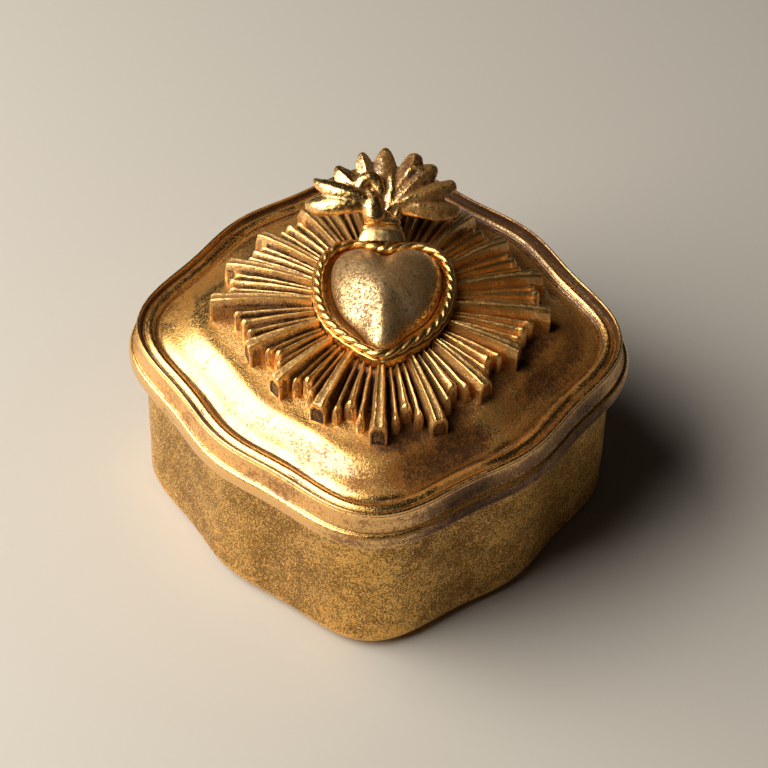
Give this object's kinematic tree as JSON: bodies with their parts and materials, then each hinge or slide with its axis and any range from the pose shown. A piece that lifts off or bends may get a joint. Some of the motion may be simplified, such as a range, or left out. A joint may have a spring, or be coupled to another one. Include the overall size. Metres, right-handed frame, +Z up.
{
  "type": "votive box",
  "caption": "Four-lobed gilt keepsake box with a lift-off domed lid carrying a sunburst, a heart in a rope border and a crown of flames.",
  "frame": {"origin": "centre of the underside, on the surface the box stands on", "axes": "+Z up; -Y toward the front lobe under the heart's point, +Y toward the flames; +X to the right of someone facing the front"},
  "size_m": [0.1128, 0.1128, 0.0725],
  "materials": {
    "body_gilt": "speckled, rubbed gold leaf over brown on a cast resin body",
    "felt": "dark brown felt",
    "lid_gilt": "burnished gold leaf over red-brown, worn at the rim",
    "ray_gilt": "gold leaf on the crests, dark red-brown in the valleys",
    "tray_gilt": "darkened gold leaf",
    "heart_gilt": "rubbed gold leaf with grey-brown wear",
    "rope_gilt": "bright gold leaf on the turns, dark between them",
    "neck_gilt": "bright burnished gold leaf",
    "flame_gilt": "gold leaf with olive-brown shading"
  },
  "bodies": {
    "box": {"box_body": "body_gilt", "base_felt": "felt"},
    "lid": {"lid": "lid_gilt", "sunburst": "ray_gilt", "heart_tray": "tray_gilt", "heart": "heart_gilt", "rope_border": "rope_gilt", "neck_band": "neck_gilt", "flame_crown": "flame_gilt"}
  },
  "joints": [
    {"name": "lid_lift", "type": "slide", "parent": "box", "child": "lid", "axis": [0, 0, 1], "range_m": [0, 0.08]}
  ]
}
